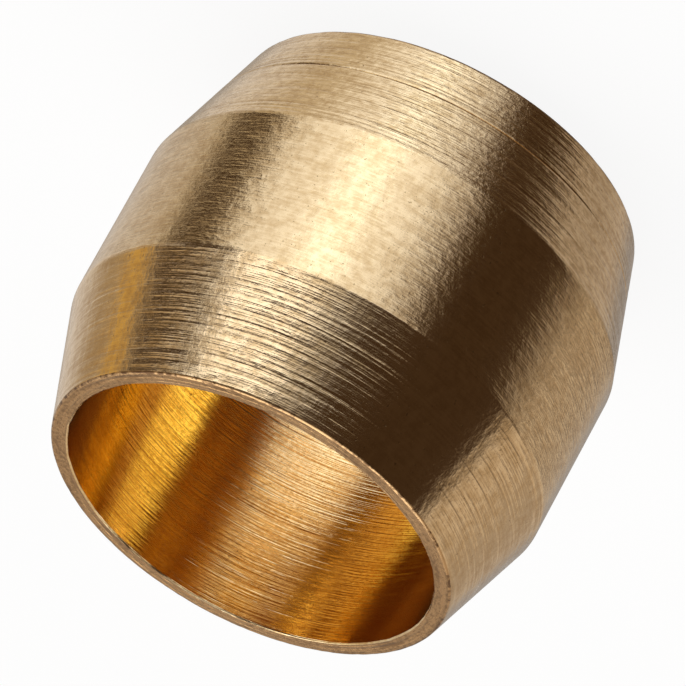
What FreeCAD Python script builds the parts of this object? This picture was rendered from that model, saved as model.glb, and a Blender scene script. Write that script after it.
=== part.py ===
"""Brass compression olive for an 8 mm heating tube.

One turned ring: a plain bore that slides over the tube, a cylindrical band round the middle and a cone
at each end. The fitting's body wedges the front cone and the nut wedges the rear cone, and the thin lips
are squeezed onto the tube.

The olive stands on its rear end face. The bore's axis is +Z, and the origin is the centre of that face.
All lengths are in millimetres.
"""
import FreeCAD
import Part
import math
import os

# Tube and bore
tube_diameter = 8.0
tube_clearance = 0.05  # between tube and bore, on the radius
mouth_chamfer = 0.03  # deburred edge at both mouths of the bore

# Walls round the bore
band_wall = 1.20
front_lip_wall = 0.36
rear_lip_wall = 0.375

# Lengths along the axis, from the rear end up
rear_cone_length = 2.89
band_length = 3.51
front_cone_length = 2.67

# Turned edges
crease_radius = 0.25  # where a cone runs into the band
lip_edge_radius = 0.06  # outer corner of both end faces

# Fine line that the parting tool leaves round the rear cone
tool_line_run = 1.22  # from the rear end face's corner, along the cone
tool_line_width = 0.07
tool_line_depth = 0.012

bore_radius = tube_diameter / 2 + tube_clearance
band_radius = bore_radius + band_wall
front_lip_radius = bore_radius + front_lip_wall
rear_lip_radius = bore_radius + rear_lip_wall
band_bottom = rear_cone_length
band_top = band_bottom + band_length
length = band_top + front_cone_length


def section_point(radius, height):
    """A point of the half section, which lies in the XZ plane."""
    return FreeCAD.Vector(radius, 0, height)


def tool_line(cone_start, cone_end):
    """The three sharp corners of the V-shaped line cut into a cone that runs between two points."""
    along = (cone_end - cone_start).normalize()
    inward = FreeCAD.Vector(-along.z, 0, along.x)
    bottom = cone_start + along * tool_line_run
    half_mouth = along * (tool_line_width / 2)
    return [bottom - half_mouth, bottom + inward * tool_line_depth, bottom + half_mouth]


def section_corners():
    """Corners of the half section as (point, rounding radius), from the rear mouth round the outside."""
    rear_lip = section_point(rear_lip_radius, 0)
    rear_crease = section_point(band_radius, band_bottom)
    return [
        (section_point(bore_radius, mouth_chamfer), 0),
        (section_point(bore_radius + mouth_chamfer, 0), 0),
        (rear_lip, lip_edge_radius),
        *[(corner, 0) for corner in tool_line(rear_lip, rear_crease)],
        (rear_crease, crease_radius),
        (section_point(band_radius, band_top), crease_radius),
        (section_point(front_lip_radius, length), lip_edge_radius),
        (section_point(bore_radius + mouth_chamfer, length), 0),
        (section_point(bore_radius, length - mouth_chamfer), 0),
    ]


def corner_arc(before, corner, after, radius):
    """The arc of a radius that is tangent to both sides of a corner."""
    arriving = (corner - before).normalize()
    leaving = (after - corner).normalize()
    half_turn = arriving.getAngle(leaving) / 2
    trim = radius * math.tan(half_turn)
    towards_centre = (leaving - arriving).normalize()
    middle = corner + towards_centre * (radius / math.cos(half_turn) - radius)
    return Part.Arc(corner - arriving * trim, middle, corner + leaving * trim)


def rounded_wire(corners):
    """A closed wire of straight runs through the corners, with an arc where a corner has a radius."""
    count = len(corners)
    arcs = []
    for i, (corner, radius) in enumerate(corners):
        before = corners[i - 1][0]
        after = corners[(i + 1) % count][0]
        arcs.append(corner_arc(before, corner, after, radius) if radius else None)
    edges = []
    for i in range(count):
        following = (i + 1) % count
        run_start = arcs[i].EndPoint if arcs[i] else corners[i][0]
        run_end = arcs[following].StartPoint if arcs[following] else corners[following][0]
        edges.append(Part.LineSegment(run_start, run_end).toShape())
        if arcs[following]:
            edges.append(arcs[following].toShape())
    return Part.Wire(edges)


def make_olive():
    """The half section turned once round the bore's axis."""
    section = Part.Face(rounded_wire(section_corners()))
    return section.revolve(FreeCAD.Vector(0, 0, 0), FreeCAD.Vector(0, 0, 1), 360)


olive = make_olive()
os.makedirs("parts", exist_ok=True)
olive.exportStep("parts/olive.step")
print(f"olive: {2 * band_radius:.2f} mm across, {length:.2f} mm long, {olive.Volume:.1f} mm3,",
      f"valid {olive.isValid()}, {len(olive.Solids)} solid, {len(olive.Faces)} faces")
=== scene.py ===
"""Brass compression olive: its turned surface, a plain studio and the camera.

Everything is in metres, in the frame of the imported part: the olive stands on its rear end face, and the
bore's axis is +Z.
"""
import math
from collections import namedtuple

import bpy
import numpy as np
from mathutils import Matrix, Vector


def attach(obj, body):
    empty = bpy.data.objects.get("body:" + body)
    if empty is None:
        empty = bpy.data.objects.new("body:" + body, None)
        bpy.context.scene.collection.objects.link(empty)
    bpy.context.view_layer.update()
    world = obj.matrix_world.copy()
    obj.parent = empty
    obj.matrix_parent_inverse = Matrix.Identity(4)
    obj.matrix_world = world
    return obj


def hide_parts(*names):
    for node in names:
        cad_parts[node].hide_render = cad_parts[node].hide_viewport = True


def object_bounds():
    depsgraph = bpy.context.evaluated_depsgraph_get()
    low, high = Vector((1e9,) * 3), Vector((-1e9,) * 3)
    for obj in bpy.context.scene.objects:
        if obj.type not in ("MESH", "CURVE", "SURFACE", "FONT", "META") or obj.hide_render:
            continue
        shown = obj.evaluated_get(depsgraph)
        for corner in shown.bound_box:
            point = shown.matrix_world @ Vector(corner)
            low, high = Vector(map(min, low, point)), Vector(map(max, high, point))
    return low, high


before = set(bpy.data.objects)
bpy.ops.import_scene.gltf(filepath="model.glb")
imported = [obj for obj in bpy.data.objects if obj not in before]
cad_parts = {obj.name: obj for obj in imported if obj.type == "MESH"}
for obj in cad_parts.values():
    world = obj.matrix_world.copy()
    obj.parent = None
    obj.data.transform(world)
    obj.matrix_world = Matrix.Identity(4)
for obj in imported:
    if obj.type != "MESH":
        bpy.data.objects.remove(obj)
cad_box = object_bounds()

MM = 0.001
MICRON = 0.000001

# Mesh of the turned surface
SEGMENTS = 216
SAME_PLACE = 0.002 * MM  # points closer than this are one point of the section
LIP_EDGE = 0.05 * MM  # this much of both ends is the mouth's chamfer and the rounded edge of the lip
IN_LINE = math.radians(0.5)  # a corner that turns by less than this is on a straight run
SHARP_CORNER = math.radians(30)
MARK_SEED = 8

# Grooves that the tool left on a surface: step between rows of the mesh, then the grooves' spacing, width,
# depth and how many degrees they reach round the axis
Turning = namedtuple("Turning", "row_step pitch width depth reach")
TURNING = {
    "front_cone": Turning(0.024 * MM, 0.04 * MM, 0.028 * MM, 3 * MICRON, (5, 100)),
    "band": Turning(0.036 * MM, 0.10 * MM, 0.04 * MM, 0.8 * MICRON, (10, 60)),
    "rear_cone": Turning(0.028 * MM, 0.07 * MM, 0.032 * MM, 5 * MICRON, (20, 120)),
    "bore": Turning(0.15 * MM, 0.3 * MM, 0.2 * MM, 2 * MICRON, (10, 40)),
    "face": Turning(0.03 * MM, 0.1 * MM, 0.04 * MM, 0.8 * MICRON, (20, 120)),
    "lip_edge": Turning(0.03 * MM, 0.1 * MM, 0.04 * MM, 0.8 * MICRON, (20, 120)),
}
GROOVE_SHARE = (0.3, 1)  # a groove's depth as a share of the stated one

# Deeper lines all round the rear cone, by their distance from the upper end of a straight run
CONE_LINES = (0.10 * MM, 0.20 * MM, 0.34 * MM)
CONE_LINE_WIDTH = 0.03 * MM
CONE_LINE_DEPTH = 6 * MICRON
CONE_RUN = 1.0 * MM  # a run shorter than this has none

# Nicks in the edges of the two lips: how many on an edge, how deep at the mouth and outside, how wide in
# degrees, and how far a dent reaches
NICKS = 70
MOUTH_NICK = (0.004 * MM, 0.035 * MM)
LIP_NICK = (0.002 * MM, 0.02 * MM)
NICK_WIDTH = (0.5, 2.0)
NICK_REACH = 0.05 * MM

# Finish of a surface in the material: colours, how sharply they part, roughness, how much smoother it is
# round the axis than along it, then the lines' spacing, length and depth, the depth of the dashes, and the
# size of the mottle and the height of mottle and stains
Finish = namedtuple(
    "Finish", "bright dull blend roughness anisotropy pitch length depth dash_depth mottle grain")
FINISH = {
    "front_cone": Finish((0.94, 0.72, 0.45), (0.72, 0.50, 0.26), 0.11, 0.11, 0.5,
                         0.05 * MM, 8 * MM, 8.5 * MICRON, 2.5 * MICRON, 0.20 * MM, 9 * MICRON),
    "band": Finish((0.96, 0.74, 0.46), (0.71, 0.495, 0.26), 0.12, 0.12, 0.5,
                   0.05 * MM, 1.5 * MM, 3 * MICRON, 5 * MICRON, 0.20 * MM, 9 * MICRON),
    "rear_cone": Finish((0.98, 0.76, 0.48), (0.68, 0.47, 0.245), 0.10, 0.12, 0.5,
                        0.06 * MM, 6 * MM, 9 * MICRON, 3 * MICRON, 0.16 * MM, 10 * MICRON),
    "bore": Finish((0.98, 0.77, 0.46), (0.74, 0.48, 0.21), 0.10, 0.03, 0.5,
                   0.05 * MM, 3 * MM, 11 * MICRON, 2 * MICRON, 0.08 * MM, 0.5 * MICRON),
    "face": Finish((0.76, 0.46, 0.205), (0.32, 0.175, 0.07), 0.08, 0.24, 0.0,
                   0.10 * MM, 4 * MM, 24 * MICRON, 5 * MICRON, 0.10 * MM, 4 * MICRON),
    "lip_edge": Finish((0.60, 0.37, 0.17), (0.16, 0.08, 0.03), 0.05, 0.34, 0.0,
                       0.09 * MM, 3 * MM, 5 * MICRON, 5 * MICRON, 0.10 * MM, 4 * MICRON),
}

# Wear that all surfaces share: dashes, mottled tarnish, stains and a few pits. A noise is given by its detail
# and roughness.
Marks = namedtuple("Marks", "lines dashes mottle stains pits")
FINE_NOISE = (2, 0.6)
MOTTLE_NOISE = (4, 0.6)
STAIN_NOISE = (3, 0.6)
PIT_NOISE = (1, 0.5)
DASH_LENGTH = 0.32 * MM
DASH_PITCH = 0.04 * MM
STAIN_LENGTH = 1.2 * MM
STAIN_PITCH = 0.3 * MM
MARK_SHARE = 0.2  # of the wear, for lines and for dashes
MOTTLE_SHARE = 0.38
STAIN_SHARE = 0.22
MEAN_WEAR = 0.49  # middle of the wear, where bright metal turns into dull
DULL_ROUGHNESS = 0.1  # how much rougher dull metal is than bright
PIT = 0.06 * MM
PIT_LIMIT = 0.24  # noise below this is a pit
PIT_EDGE = 0.05
PIT_SHADE = 0.7  # a pit's colour as a share of the dull metal's
PIT_DEPTH = 0.8 * MICRON

# Grain round the axis, and a film of oil
GRAIN_TURN = 0.25  # of a full turn
OIL_FILM = 0.4
OIL_ROUGHNESS = 0.3

# Camera, from the photograph: how far it looks down on the mouth, its roll, and where the mouth's centre lies
LOOK_DOWN = math.radians(29.92)
CAMERA_ROLL = math.radians(151.11)
CAMERA_DISTANCE = 239.3 * MM
PICTURE_WIDTH = 13.756 * MM  # what the picture's width covers at the mouth
MOUTH_RIGHT_OF_CENTRE = -1.8785 * MM
MOUTH_ABOVE_CENTRE = -3.458 * MM
SENSOR_WIDTH = 36.0
NEAREST_SEEN = 0.01
FARTHEST_SEEN = 10

# Studio: a pale floor in a light tent of walls, a roof and panels
FLOOR_RADIUS = 2.0
FLOOR_SIDES = 96
FLOOR_COLOUR = (0.95, 0.95, 0.95, 1)
FLOOR_GLOW = 0.9  # share of plain white that the camera sees on the floor, over its lit colour
WALL = (0.58, 0.55, 0.53, 1)
ROOF = (2.4, 2.4, 2.4, 1)
ROOF_FROM = 48  # elevation in degrees
ROOF_EDGE = 5
DARK = (0.05, 0.029, 0.015, 1)

# Panels of the tent, in degrees: bearing from the camera, elevation, width of the soft edges across and up,
# colour, and how far a panel leans for each degree of elevation. Each hangs over those before it.
LEAN_AT = -30  # the elevation that the band mirrors, where a leaning panel has its stated bearing
BORE_LEVEL = -30  # the elevation that the bore mirrors
LEVEL_EDGE = 6
ANY_HEIGHT = (-90, 90)
ANY_HEIGHT_EDGE = 10
Panel = namedtuple("Panel", "bearing elevation edge colour lean", defaults=[0])
PANELS = [
    # One side wall, with steps that the cones and the band mirror
    Panel((20, 195), (-90, 46), (12, 20), (0.42, 0.36, 0.30, 1)),
    Panel((128, 180), (-90, 46), (30, 20), (0.36, 0.34, 0.33, 1)),
    Panel((84, 152), (-30, 46), (14, 8), (0.60, 0.51, 0.41, 1)),
    Panel((84, 152), (-20, -8), (14, 8), (0.38, 0.32, 0.26, 1)),
    Panel((84, 152), (-37, -31), (14, 6), (0.19, 0.155, 0.12, 1)),
    Panel((96, 152), (-47, -41), (14, 6), (0.48, 0.41, 0.34, 1)),
    Panel((96, 152), (-56, -47), (14, 6), (0.34, 0.29, 0.24, 1)),
    # The other side wall, stepped too
    Panel((-168, -114), (-90, -36), (14, 6), (0.68, 0.64, 0.60, 1)),
    Panel((-168, -114), (-36, -31), (14, 6), (0.34, 0.31, 0.27, 1)),
    Panel((-168, -114), (-30, -20), (14, 8), (0.68, 0.63, 0.58, 1)),
    Panel((-140, -96), (-20, 4), (30, 10), (0.34, 0.26, 0.16, 1)),
    Panel((-140, -96), (-8, 4), (30, 8), (0.60, 0.46, 0.28, 1)),
    Panel((-112, -70), (-90, -20), (24, 12), (0.54, 0.46, 0.33, 1)),
    Panel((-110, -66), (0, 46), (16, 8), (0.48, 0.37, 0.22, 1)),
    # Softbox with a brighter middle
    Panel((-74, 8), (-90, 6), (32, 6), (0.98, 0.98, 0.97, 1)),
    Panel((-46, -10), (-72, -10), (34, 24), (1.17, 1.2, 1.2, 1)),
    Panel((-36, -20), (-60, -12), (16, 20), (1.5, 1.6, 1.6, 1)),
    Panel((-58, -20), (-12, 6), (16, 6), (1.55, 1.55, 1.55, 1)),
    # Darkness over the softbox, with a pale strip of roof
    Panel((-71, 50), (6, 80), (14, 5), DARK),
    Panel((-7, 50), (-6, 80), (36, 8), DARK),
    Panel((-40, 40), (56, 90), (20, 8), (1.0, 0.98, 0.94, 1)),
    # Dark flags beside the softbox, and a strip of gold
    Panel((24, 79), (-90, 64), (12, 14), DARK),
    Panel((22, 81), (-48, -14), (18, 12), DARK, 1.4),
    Panel((-106, -77), (-35, -10), (16, 3), (0.05, 0.028, 0.012, 1), 1.4),
    Panel((-100, -60), (-13, 0), (18, 2.5), DARK),
    Panel((-114, -104), (-16, 3), (8, 8), (0.56, 0.36, 0.09, 1)),
    # Painted shadow: the olive's own shadow on the ground under it, as a dark band all round
    Panel((-180, 180), (-90, -70), (2, 8), (0.12, 0.08, 0.05, 1)),
]


def brighter_above(bearing, edge, low_colour, high_colour):
    """A panel of any height and a brighter one over it, above the level that the bore mirrors."""
    low = Panel(bearing, ANY_HEIGHT, (edge, ANY_HEIGHT_EDGE), low_colour)
    high = Panel(bearing, (BORE_LEVEL, 90), (edge, LEVEL_EDGE), high_colour)
    return [low, high]


# What the bore mirrors after two bounces, through its far end: a fill light, a shadow, the softbox, a second
# shadow and a gold light
BORE_WALL = (0.44, 0.28, 0.10, 1)
BORE_PANELS = [
    Panel((-10, 34), ANY_HEIGHT, (14, ANY_HEIGHT_EDGE), (0.85, 0.6, 0.2, 1)),
    Panel((50, 84), ANY_HEIGHT, (16, ANY_HEIGHT_EDGE), (0.20, 0.11, 0.03, 1)),
    *brighter_above((92, 192), 24, (0.55, 0.52, 0.48, 1), (1.5, 1.45, 1.4, 1)),
    Panel((210, 290), ANY_HEIGHT, (24, ANY_HEIGHT_EDGE), (0.25, 0.10, 0.014, 1)),
    Panel((284, 346), (-46, 90), (6, 8), (1.1, 1.03, 0.33, 1)),
    Panel((284, 346), (BORE_LEVEL, -4), (6, LEVEL_EDGE), (2.4, 2.25, 0.73, 1)),
    Panel((284, 360), (0, 90), (6, 6), (0.20, 0.11, 0.03, 1)),
]

# What it mirrors after three bounces, near its mouth
DEEP_WALL = (0.11, 0.045, 0.01, 1)
DEEP_PANELS = [
    Panel((74, 102), (BORE_LEVEL, 90), (12, LEVEL_EDGE), (0.5, 0.43, 0.16, 1)),
    Panel((98, 128), (-90, -26), (12, 6), (0.95, 0.81, 0.3, 1)),
    Panel((168, 208), (-90, -25), (12, 8), (2.2, 2.3, 1.37, 1)),
    Panel((206, 238), (-90, -26), (10, 6), (1.5, 1.45, 0.7, 1)),
    Panel((242, 279), ANY_HEIGHT, (8, ANY_HEIGHT_EDGE), (0.35, 0.17, 0.02, 1)),
    *brighter_above((282, 345), 12, (0.55, 0.45, 0.07, 1), (1.2, 1.0, 0.16, 1)),
]

# What it mirrors after four bounces at the two sides of its mouth, and after more
SIDE_WALL = (0.09, 0.03, 0.006, 1)
SIDE_PANELS = [
    *brighter_above((178, 238), 12, (0.8, 0.65, 0.11, 1), (1.5, 1.25, 0.21, 1)),
    *brighter_above((236, 345), 12, (0.42, 0.34, 0.06, 1), (0.85, 0.7, 0.12, 1)),
]
DEEPEST = (0.26, 0.2, 0.1, 1)
MOST_BOUNCES = 8  # of a ray from metal to metal


def section_outline(node):
    """Corners of the CAD node's half section as (radius, height), in order as seen from the axis."""
    places = np.array([vertex.co for vertex in node.data.vertices])
    corners = np.column_stack([np.hypot(places[:, 0], places[:, 1]), places[:, 2]])
    corners = np.unique(np.round(corners / SAME_PLACE), axis=0) * SAME_PLACE
    middle = (corners[:, 1].min() + corners[:, 1].max()) / 2
    slope = (corners[:, 1] - middle) / corners[:, 0]
    corners = corners[np.argsort(slope)]
    steps = np.roll(corners, -1, axis=0) - corners
    heading = np.arctan2(steps[:, 1], steps[:, 0])
    turning = (heading - np.roll(heading, 1) + math.pi) % (2 * math.pi) - math.pi
    return corners[np.abs(turning) > IN_LINE]


def zone_of(point, outline):
    """Which turned surface a point of the section lies on."""
    radius, height = point
    low, high = outline.min(axis=0), outline.max(axis=0)
    band = outline[outline[:, 0] > high[0] - 2 * SAME_PLACE][:, 1]
    if radius < low[0] + 2 * SAME_PLACE:
        return "bore"
    from_end = min(height - low[1], high[1] - height)
    if from_end < 2 * SAME_PLACE:
        return "face"
    if from_end < LIP_EDGE:
        return "bore" if radius < low[0] + LIP_EDGE else "lip_edge"
    if height > band.max():
        return "front_cone"
    if height < band.min():
        return "rear_cone"
    return "band"


def groove_depth(along, length, turn, turning, rng):
    """Depth of the tool's grooves over a straight run, by row and segment, with none at the run's ends."""
    depth = np.zeros((len(along), len(turn)))
    for centre in rng.uniform(0, length, int(length / turning.pitch)):
        across = np.exp(-((along - centre) / turning.width) ** 2)
        reach = math.radians(rng.uniform(*turning.reach))
        offset = np.abs((turn - rng.uniform(0, 2 * math.pi) + math.pi) % (2 * math.pi) - math.pi)
        round_axis = np.clip(2 - 2 * offset / reach, 0, 1)
        depth += np.outer(across, round_axis) * turning.depth * rng.uniform(*GROOVE_SHARE)
    ends = np.clip(np.minimum(along, length - along) / turning.width / 2, 0, 1)
    return depth * ends[:, None]


def cone_line_depth(along, length):
    """Depth of the deeper lines near the upper end of a long run on the rear cone, by row."""
    if length < CONE_RUN:
        return np.zeros(len(along))
    offset = (length - along[:, None] - np.array(CONE_LINES)) / CONE_LINE_WIDTH
    return CONE_LINE_DEPTH * np.exp(-offset ** 2).sum(axis=1)


def turned_rows(outline, turn):
    """Rows of (radius, height) by segment round the outline, with grooves, and the zone after each row."""
    rng = np.random.default_rng(MARK_SEED)
    rows, zones = [], []
    for start, end in zip(outline, np.roll(outline, -1, axis=0)):
        zone = zone_of((start + end) / 2, outline)
        turning = TURNING[zone]
        length = np.linalg.norm(end - start)
        count = max(1, math.ceil(length / turning.row_step))
        along = np.arange(count) * length / count
        direction = (end - start) / length
        inward = np.array([-direction[1], direction[0]])
        depth = groove_depth(along, length, turn, turning, rng)
        if zone == "rear_cone":
            depth += cone_line_depth(along, length)[:, None]
        rows.append(start + along[:, None, None] * direction + depth[:, :, None] * inward)
        zones += [zone] * count
    return np.concatenate(rows), zones


def nick_edge(rows, turn, corner, depths, rng):
    """How far the nicks of one edge round the axis dent each point."""
    dent = np.zeros(len(turn))
    for centre in rng.uniform(0, 2 * math.pi, NICKS):
        offset = (turn - centre + math.pi) % (2 * math.pi) - math.pi
        width = math.radians(rng.uniform(*NICK_WIDTH))
        dent = np.maximum(dent, rng.uniform(*depths) * np.exp(-(offset / width) ** 2))
    distance = np.linalg.norm(rows - corner, axis=2)
    return dent * np.exp(-distance / NICK_REACH)


def nick_lips(rows, outline, turn):
    """Dents the inner edges of both lips outwards and the outer edges inwards."""
    rng = np.random.default_rng(MARK_SEED)
    bore_radius = outline[:, 0].min()
    shift = np.zeros(rows.shape[:2])
    for height in (outline[:, 1].min(), outline[:, 1].max()):
        face_radius = outline[outline[:, 1] == height][:, 0].max()
        shift += nick_edge(rows, turn, (bore_radius, height), MOUTH_NICK, rng)
        shift -= nick_edge(rows, turn, (face_radius, height), LIP_NICK, rng)
    rows[:, :, 0] += shift


def paint_zones(mesh, zones):
    """Gives every zone of the turned mesh its own brass."""
    names = list(FINISH)
    for zone in names:
        mesh.materials.append(brass_material(f"brass_{zone}", FINISH[zone]))
    material_index = np.repeat([names.index(zone) for zone in zones], SEGMENTS)
    mesh.polygons.foreach_set("material_index", material_index.astype(np.int32))


def lathe(name, outline):
    """A closed mesh of the outline turned round the axis, with one material for each zone."""
    turn = np.arange(SEGMENTS) * 2 * math.pi / SEGMENTS
    rows, zones = turned_rows(outline, turn)
    nick_lips(rows, outline, turn)
    radius, height = rows[:, :, 0], rows[:, :, 1]
    places = np.stack([radius * np.cos(turn), radius * np.sin(turn), height], axis=-1).reshape(-1, 3)
    corner = np.arange(len(zones) * SEGMENTS).reshape(len(zones), SEGMENTS)
    beside = np.roll(corner, -1, axis=1)
    above = np.roll(corner, -1, axis=0)
    faces = np.stack([corner, beside, np.roll(beside, -1, axis=0), above], axis=-1).reshape(-1, 4)
    mesh = bpy.data.meshes.new(name)
    mesh.from_pydata(places.tolist(), [], faces.tolist())
    mesh.shade_smooth()
    mesh.set_sharp_from_angle(angle=SHARP_CORNER)
    paint_zones(mesh, zones)
    piece = bpy.data.objects.new(name, mesh)
    bpy.context.scene.collection.objects.link(piece)
    return piece


class Nodes:
    """Short forms for adding linked nodes to a node tree."""

    def __init__(self, tree):
        self.tree = tree

    def add(self, kind, **settings):
        """A new node with some settings."""
        node = self.tree.nodes.new(kind)
        for name, value in settings.items():
            setattr(node, name, value)
        return node

    def feed(self, socket, value):
        """Links a value to an input, or sets it there when it is a constant."""
        if isinstance(value, bpy.types.NodeSocket):
            self.tree.links.new(value, socket)
        else:
            socket.default_value = value

    def math(self, operation, *values):
        """One sum or function of values."""
        node = self.add("ShaderNodeMath", operation=operation)
        for socket, value in zip(node.inputs, values):
            self.feed(socket, value)
        return node.outputs[0]

    def ease(self, value, start, end):
        """0 on the start's side and 1 on the end's side, eased between."""
        node = self.add("ShaderNodeMapRange", interpolation_type="SMOOTHSTEP")
        self.feed(node.inputs["Value"], value)
        self.feed(node.inputs["From Min"], start)
        self.feed(node.inputs["From Max"], end)
        return node.outputs[0]

    def scaled(self, value, low, high):
        """0 to 1 turned into low to high."""
        node = self.add("ShaderNodeMapRange")
        self.feed(node.inputs["Value"], value)
        self.feed(node.inputs["To Min"], low)
        self.feed(node.inputs["To Max"], high)
        return node.outputs[0]

    def blend(self, factor, first, second):
        """From the first colour to the second."""
        node = self.add("ShaderNodeMix", data_type="RGBA")
        self.feed(node.inputs[0], factor)
        self.feed(node.inputs[6], first)
        self.feed(node.inputs[7], second)
        return node.outputs[2]

    def noise(self, place, detail, roughness):
        """Cloudy noise by place, one unit wide."""
        node = self.add("ShaderNodeTexNoise")
        self.feed(node.inputs["Vector"], place)
        self.feed(node.inputs["Scale"], 1.0)
        self.feed(node.inputs["Detail"], detail)
        self.feed(node.inputs["Roughness"], roughness)
        return node.outputs[0]

    def stretched(self, place, across, along):
        """A place in units of one length across the axis and another along the turned section."""
        split = self.add("ShaderNodeSeparateXYZ")
        self.feed(split.inputs[0], place)
        x, y, z = split.outputs
        radius = self.math("SQRT", self.math("ADD", self.math("MULTIPLY", x, x), self.math("MULTIPLY", y, y)))
        joined = self.add("ShaderNodeCombineXYZ")
        self.feed(joined.inputs[0], self.math("DIVIDE", x, across))
        self.feed(joined.inputs[1], self.math("DIVIDE", y, across))
        self.feed(joined.inputs[2], self.math("DIVIDE", self.math("ADD", z, radius), along))
        return joined.outputs[0]


def new_material(name):
    """A new material and its shader."""
    material = bpy.data.materials.new(name)
    material.use_nodes = True
    return material, material.node_tree.nodes["Principled BSDF"]


def brass_marks(nodes, finish):
    """The marks of a surface by place, each from 0 to 1."""
    place = nodes.add("ShaderNodeTexCoord").outputs["Object"]
    pit_noise = nodes.noise(nodes.stretched(place, PIT, PIT), *PIT_NOISE)
    return Marks(
        lines=nodes.noise(nodes.stretched(place, finish.length, finish.pitch), *FINE_NOISE),
        dashes=nodes.noise(nodes.stretched(place, DASH_LENGTH, DASH_PITCH), *FINE_NOISE),
        mottle=nodes.noise(nodes.stretched(place, finish.mottle, finish.mottle), *MOTTLE_NOISE),
        stains=nodes.noise(nodes.stretched(place, STAIN_LENGTH, STAIN_PITCH), *STAIN_NOISE),
        pits=nodes.ease(pit_noise, PIT_LIMIT + PIT_EDGE, PIT_LIMIT),
    )


def colour_brass(nodes, shader, finish, marks):
    """Bright metal where it is clean, dull and rougher metal where it is worn, and darker pits."""
    turned = nodes.math("MULTIPLY", nodes.math("ADD", marks.lines, marks.dashes), MARK_SHARE)
    mottled = nodes.math("MULTIPLY", marks.mottle, MOTTLE_SHARE)
    stained = nodes.math("MULTIPLY", marks.stains, STAIN_SHARE)
    wear = nodes.math("ADD", turned, nodes.math("ADD", mottled, stained))
    dullness = nodes.ease(wear, MEAN_WEAR + finish.blend, MEAN_WEAR - finish.blend)
    metal = nodes.blend(dullness, (*finish.bright, 1), (*finish.dull, 1))
    pit_colour = tuple(PIT_SHADE * channel for channel in finish.dull)
    nodes.feed(shader.inputs["Base Color"], nodes.blend(marks.pits, metal, (*pit_colour, 1)))
    roughest = finish.roughness + DULL_ROUGHNESS
    nodes.feed(shader.inputs["Roughness"], nodes.scaled(dullness, finish.roughness, roughest))


def emboss_brass(nodes, shader, finish, marks):
    """The height of all marks, as a bump."""
    lines = nodes.math("MULTIPLY", marks.lines, finish.depth)
    dashes = nodes.math("MULTIPLY", marks.dashes, finish.dash_depth)
    mottle = nodes.math("MULTIPLY", nodes.math("ADD", marks.mottle, marks.stains), finish.grain)
    pits = nodes.math("MULTIPLY", marks.pits, -PIT_DEPTH)
    bump = nodes.add("ShaderNodeBump")
    bump.inputs["Distance"].default_value = 1.0
    height = nodes.math("ADD", nodes.math("ADD", lines, dashes), nodes.math("ADD", mottle, pits))
    nodes.feed(bump.inputs["Height"], height)
    nodes.feed(shader.inputs["Normal"], bump.outputs[0])


def brass_material(name, finish):
    """Turned and worn brass with a grain round the axis, under a film of oil."""
    material, shader = new_material(name)
    nodes = Nodes(material.node_tree)
    marks = brass_marks(nodes, finish)
    colour_brass(nodes, shader, finish, marks)
    emboss_brass(nodes, shader, finish, marks)
    tangent = nodes.add("ShaderNodeTangent", direction_type="RADIAL", axis="Z")
    nodes.feed(shader.inputs["Tangent"], tangent.outputs[0])
    shader.inputs["Metallic"].default_value = 1.0
    shader.inputs["Anisotropic"].default_value = finish.anisotropy
    shader.inputs["Anisotropic Rotation"].default_value = GRAIN_TURN
    shader.inputs["Coat Weight"].default_value = OIL_FILM
    shader.inputs["Coat Roughness"].default_value = OIL_ROUGHNESS
    return material


def panel_mask(nodes, bearing, elevation, panel):
    """1 inside a panel of the tent and 0 outside, with soft edges."""
    width, height = panel.edge
    left, right = panel.bearing
    low, high = panel.elevation
    leaning = nodes.math("MULTIPLY", nodes.math("SUBTRACT", elevation, LEAN_AT), panel.lean)
    turned = nodes.math("SUBTRACT", nodes.math("SUBTRACT", bearing, (left + right) / 2), leaning)
    offset = nodes.math("ABSOLUTE", nodes.math("WRAP", turned, 180, -180))
    half = (right - left) / 2
    across = nodes.ease(offset, half + width / 2, half - width / 2)
    over = nodes.ease(elevation, low - height / 2, low + height / 2)
    under = nodes.ease(elevation, high + height / 2, high - height / 2)
    return nodes.math("MULTIPLY", across, nodes.math("MULTIPLY", over, under))


def hang_panels(nodes, bearing, elevation, colour, panels):
    """A colour by direction, with panels hung over it one after the other."""
    for panel in panels:
        colour = nodes.blend(panel_mask(nodes, bearing, elevation, panel), colour, panel.colour)
    return colour


def build_tent():
    """The light: pale walls, a bright roof and the panels, and in the bore surroundings of its own."""
    world = bpy.data.worlds.new("light_tent")
    bpy.context.scene.world = world
    world.use_nodes = True
    nodes = Nodes(world.node_tree)
    split = nodes.add("ShaderNodeSeparateXYZ")
    nodes.feed(split.inputs[0], nodes.add("ShaderNodeTexCoord").outputs["Generated"])
    x, y, z = split.outputs
    elevation = nodes.math("DEGREES", nodes.math("ARCSINE", z))
    backward = nodes.math("MULTIPLY", y, -1.0)
    bearing = nodes.math("DEGREES", nodes.math("ARCTAN2", nodes.math("MULTIPLY", x, -1.0), backward))
    plain = nodes.blend(nodes.ease(elevation, ROOF_FROM - ROOF_EDGE, ROOF_FROM + ROOF_EDGE), WALL, ROOF)
    colour = hang_panels(nodes, bearing, elevation, plain, PANELS)
    inside = hang_panels(nodes, bearing, elevation, BORE_WALL, BORE_PANELS)
    deep = hang_panels(nodes, bearing, elevation, DEEP_WALL, DEEP_PANELS)
    sides = hang_panels(nodes, bearing, elevation, SIDE_WALL, SIDE_PANELS)
    bounces = nodes.add("ShaderNodeLightPath").outputs["Glossy Depth"]
    for fewest, surroundings in ((2, inside), (3, deep), (4, sides), (5, DEEPEST)):
        colour = nodes.blend(nodes.math("GREATER_THAN", bounces, fewest - 0.5), colour, surroundings)
    nodes.feed(world.node_tree.nodes["Background"].inputs["Color"], colour)


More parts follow.
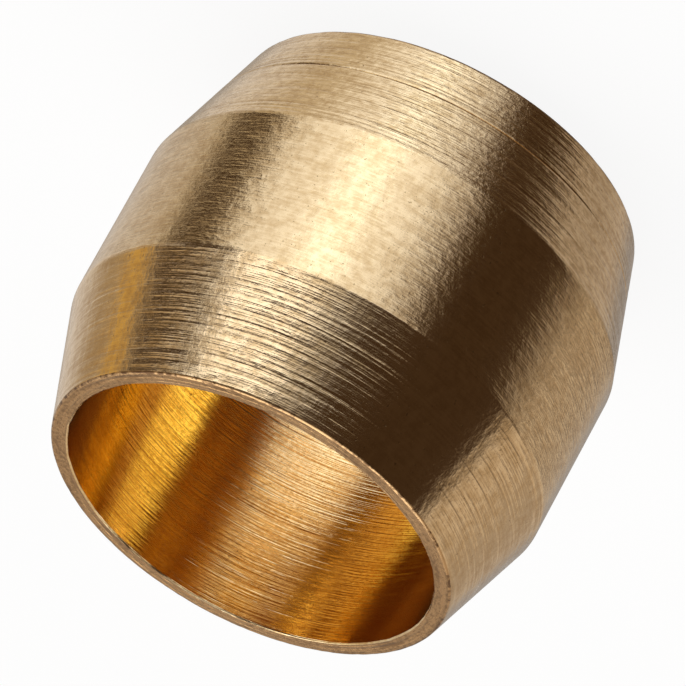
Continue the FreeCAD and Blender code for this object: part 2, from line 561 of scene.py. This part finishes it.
def build_floor():
    """A wide pale floor that the metal doesn't mirror: the tent goes on below it."""
    bpy.ops.mesh.primitive_circle_add(vertices=FLOOR_SIDES, radius=FLOOR_RADIUS, fill_type="NGON")
    floor = bpy.context.object
    floor.name = "floor"
    material, shader = new_material("pale_floor")
    shader.inputs["Base Color"].default_value = FLOOR_COLOUR
    shader.inputs["Roughness"].default_value = 1.0
    shader.inputs["Specular IOR Level"].default_value = 0.0
    nodes = Nodes(material.node_tree)
    white = nodes.add("ShaderNodeEmission")
    to_camera = nodes.math("MULTIPLY", nodes.add("ShaderNodeLightPath").outputs["Is Camera Ray"], FLOOR_GLOW)
    mix = nodes.add("ShaderNodeMixShader")
    nodes.feed(mix.inputs[0], to_camera)
    nodes.feed(mix.inputs[1], shader.outputs[0])
    nodes.feed(mix.inputs[2], white.outputs[0])
    nodes.feed(material.node_tree.nodes["Material Output"].inputs["Surface"], mix.outputs[0])
    floor.data.materials.append(material)
    floor.visible_glossy = False


def build_camera(mouth):
    """The photograph's camera, rolled so that the olive's axis leans as it does there."""
    forward = Vector((0, math.cos(LOOK_DOWN), -math.sin(LOOK_DOWN)))
    level_right = Vector((1, 0, 0))
    level_up = level_right.cross(forward)
    right = level_right * math.cos(CAMERA_ROLL) - level_up * math.sin(CAMERA_ROLL)
    up = right.cross(forward)
    data = bpy.data.cameras.new("camera")
    data.sensor_width = SENSOR_WIDTH
    data.lens = SENSOR_WIDTH * CAMERA_DISTANCE / PICTURE_WIDTH
    data.clip_start = NEAREST_SEEN
    data.clip_end = FARTHEST_SEEN
    camera = bpy.data.objects.new("camera", data)
    place = mouth - forward * CAMERA_DISTANCE - right * MOUTH_RIGHT_OF_CENTRE - up * MOUTH_ABOVE_CENTRE
    axes = Matrix((right, up, -forward)).transposed().to_4x4()
    camera.matrix_world = Matrix.Translation(place) @ axes
    bpy.context.scene.collection.objects.link(camera)
    bpy.context.scene.camera = camera


olive = lathe("turned_olive", section_outline(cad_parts["olive"]))
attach(olive, "root")
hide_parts("olive")

build_tent()
build_floor()
build_camera(Vector((0, 0, cad_box[1].z)))

scene = bpy.context.scene
scene.view_settings.view_transform = "Standard"
scene.cycles.glossy_bounces = MOST_BOUNCES
